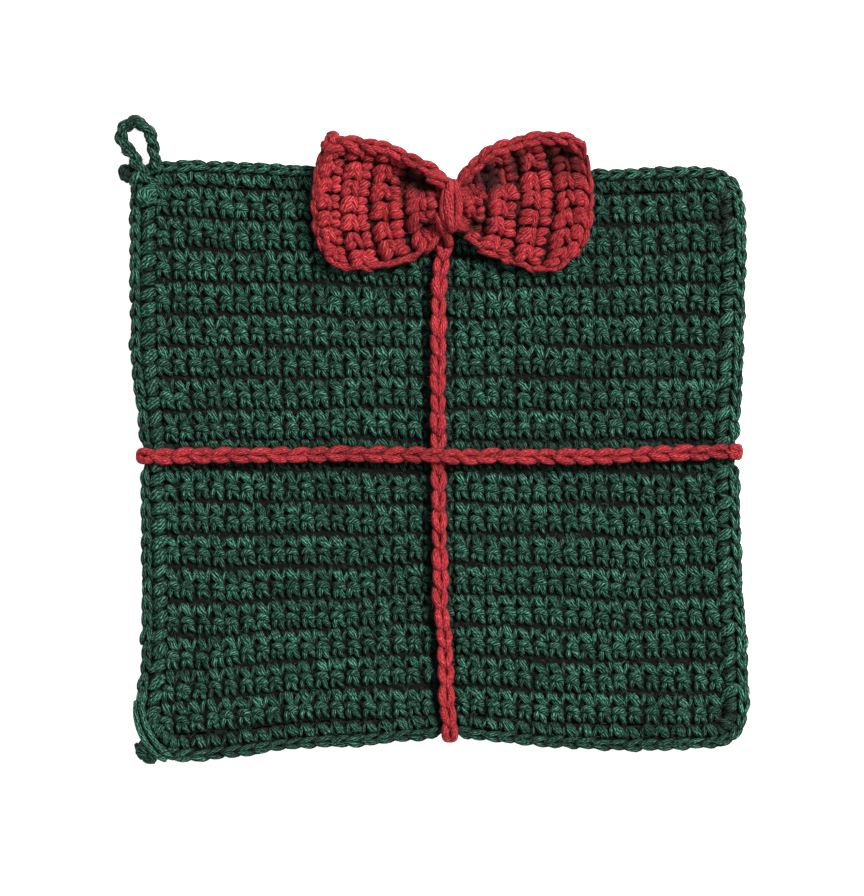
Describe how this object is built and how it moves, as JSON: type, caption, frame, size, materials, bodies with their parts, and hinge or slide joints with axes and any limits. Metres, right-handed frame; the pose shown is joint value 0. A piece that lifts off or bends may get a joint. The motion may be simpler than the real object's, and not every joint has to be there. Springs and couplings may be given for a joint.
{
  "type": "crochet trivet",
  "caption": "Square crocheted trivet made up as a wrapped parcel, with crossed chain ribbons, a pinched bow and a hanging loop.",
  "frame": {"origin": "middle of the part's footprint, hanging loop included, on the surface it lies on", "axes": "+X to the right and +Y up the panel towards the bow, seen from the face; +Z out of the face"},
  "size_m": [0.2092, 0.2136, 0.0192],
  "materials": {
    "green_yarn": "matt twisted cotton yarn",
    "red_yarn": "matt twisted cotton yarn"
  },
  "bodies": {
    "root": {"panel": "green_yarn", "edging": "green_yarn", "hanging_loop": "green_yarn", "yarn_end_corner": "green_yarn", "yarn_end_foot": "green_yarn", "ribbon_across": "red_yarn", "ribbon_down": "red_yarn", "bow": "red_yarn", "bow_binding": "red_yarn"}
  },
  "joints": []
}
